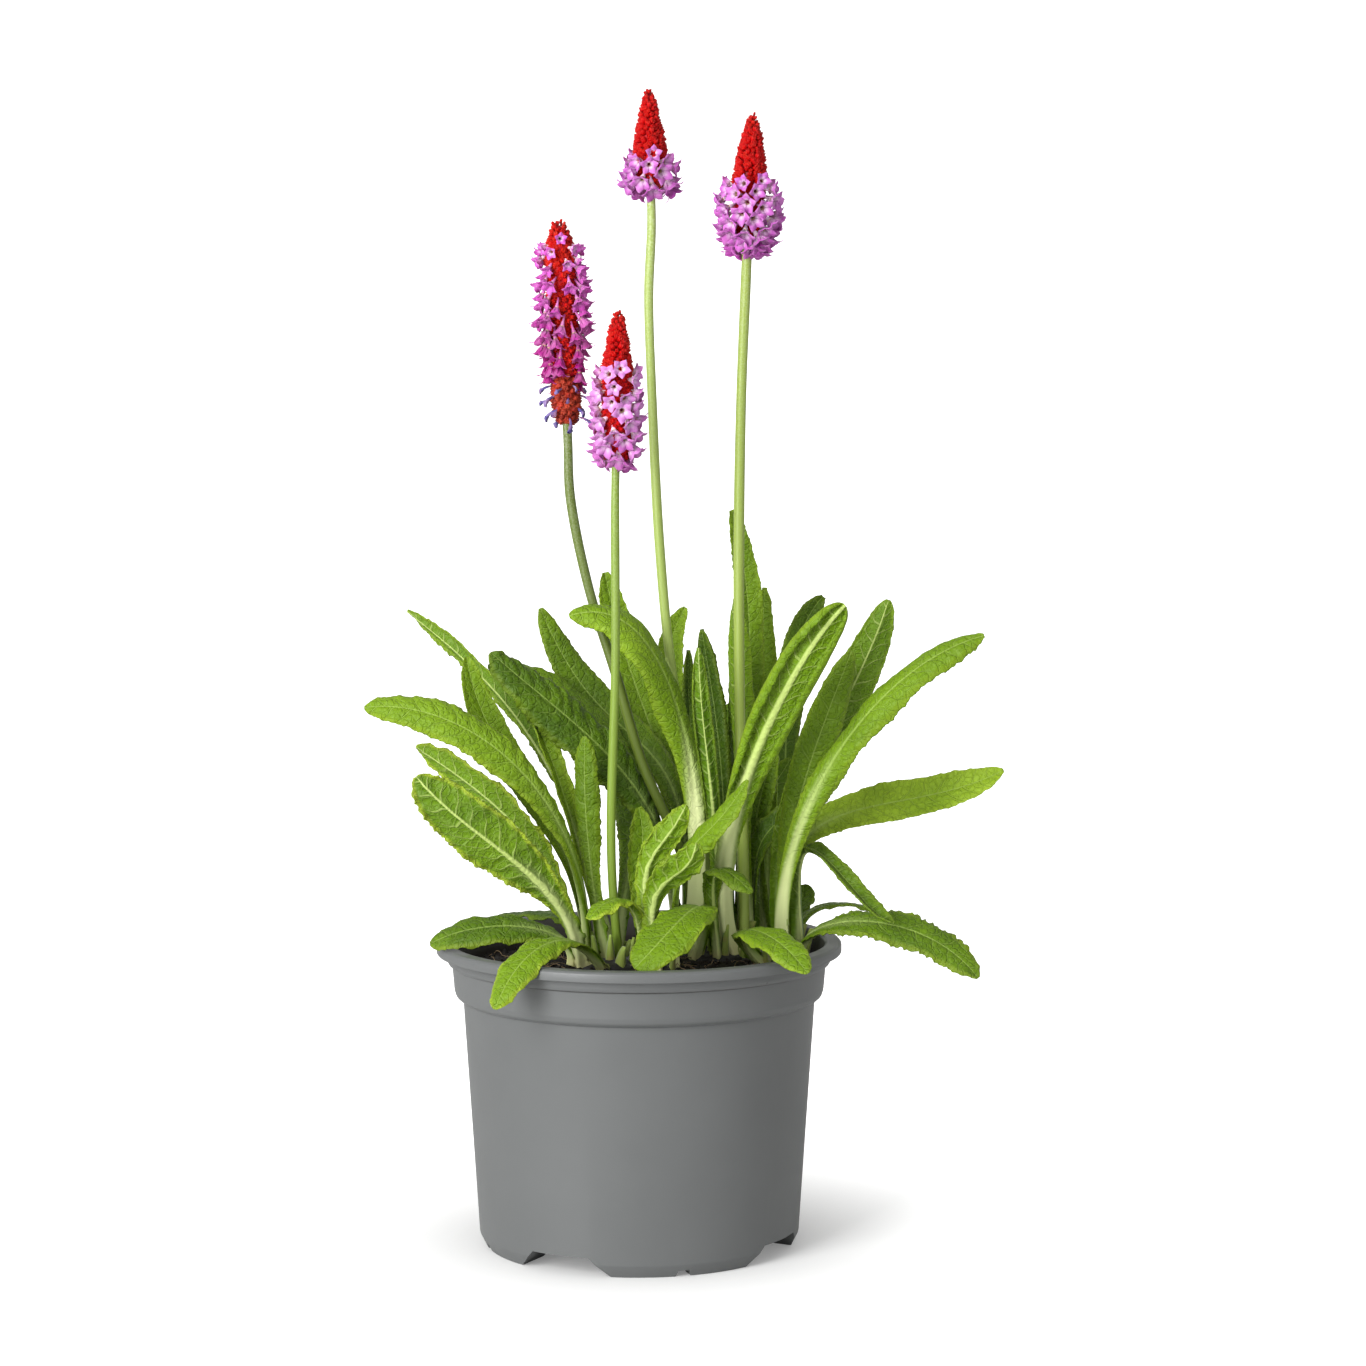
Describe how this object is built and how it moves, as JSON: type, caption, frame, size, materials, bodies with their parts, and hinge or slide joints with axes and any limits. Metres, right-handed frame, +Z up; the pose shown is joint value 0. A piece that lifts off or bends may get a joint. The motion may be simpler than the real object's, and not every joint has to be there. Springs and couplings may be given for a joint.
{
  "type": "potted orchid primrose",
  "caption": "Orchid primrose in a plastic nursery pot: rosettes of long toothed leaves around upright scapes, each topped by a cone of red buds over lilac florets.",
  "frame": {"origin": "ground point under the middle of the whole plant's box; the pot's axis stands 16.3 mm towards -X and 8 mm towards -Y of it", "axes": "+Z up, the picture's viewer looks along +Y, +X to the right in the picture"},
  "size_m": [0.2046, 0.1462, 0.3693],
  "materials": {
    "pot_plastic": "injection moulded grey polypropylene, satin",
    "compost": "moist dark peat, rough",
    "crown": "pale green fleshy stem bases, satin",
    "leaf": "fresh green leaf, puckered and finely hairy, soft satin",
    "scape": "smooth light green stalk, satin",
    "bud": "crimson overlapping buds, satin",
    "floret": "lilac thin petals, matt",
    "spent_flower": "brown-red dry calyces and withered corollas, matt"
  },
  "bodies": {
    "root": {"pot": "pot_plastic", "compost": "compost", "crown_left": "crown", "crown_front": "crown", "crown_right": "crown", "leaf_left_01": "leaf", "leaf_left_02": "leaf", "leaf_left_03": "leaf", "leaf_left_04": "leaf", "leaf_left_05": "leaf", "leaf_left_06": "leaf", "leaf_left_07": "leaf", "leaf_left_08": "leaf", "leaf_left_09": "leaf", "leaf_left_10": "leaf", "leaf_front_01": "leaf", "leaf_front_02": "leaf", "leaf_front_03": "leaf", "leaf_front_04": "leaf", "leaf_front_05": "leaf", "leaf_middle_01": "leaf", "leaf_middle_02": "leaf", "leaf_middle_03": "leaf", "leaf_middle_04": "leaf", "leaf_middle_05": "leaf", "leaf_middle_06": "leaf", "leaf_middle_07": "leaf", "leaf_middle_08": "leaf", "leaf_middle_09": "leaf", "leaf_middle_10": "leaf", "leaf_middle_11": "leaf", "leaf_middle_12": "leaf", "leaf_right_01": "leaf", "leaf_right_02": "leaf", "leaf_right_03": "leaf", "leaf_right_04": "leaf", "leaf_right_05": "leaf", "leaf_right_06": "leaf", "leaf_right_07": "leaf", "leaf_right_08": "leaf", "leaf_right_09": "leaf", "leaf_right_10": "leaf", "leaf_right_11": "leaf", "leaf_right_12": "leaf", "leaf_right_13": "leaf", "leaf_right_14": "leaf", "leaf_right_15": "leaf", "scape_back_left": "scape", "scape_front_left": "scape", "scape_tallest": "scape", "scape_right": "scape", "spike_back_left_buds": "bud", "spike_front_left_buds": "bud", "spike_tallest_buds": "bud", "spike_right_buds": "bud", "spike_back_left_florets": "floret", "spike_front_left_florets": "floret", "spike_tallest_florets": "floret", "spike_right_florets": "floret", "spike_back_left_spent": "spent_flower"}
  },
  "joints": []
}
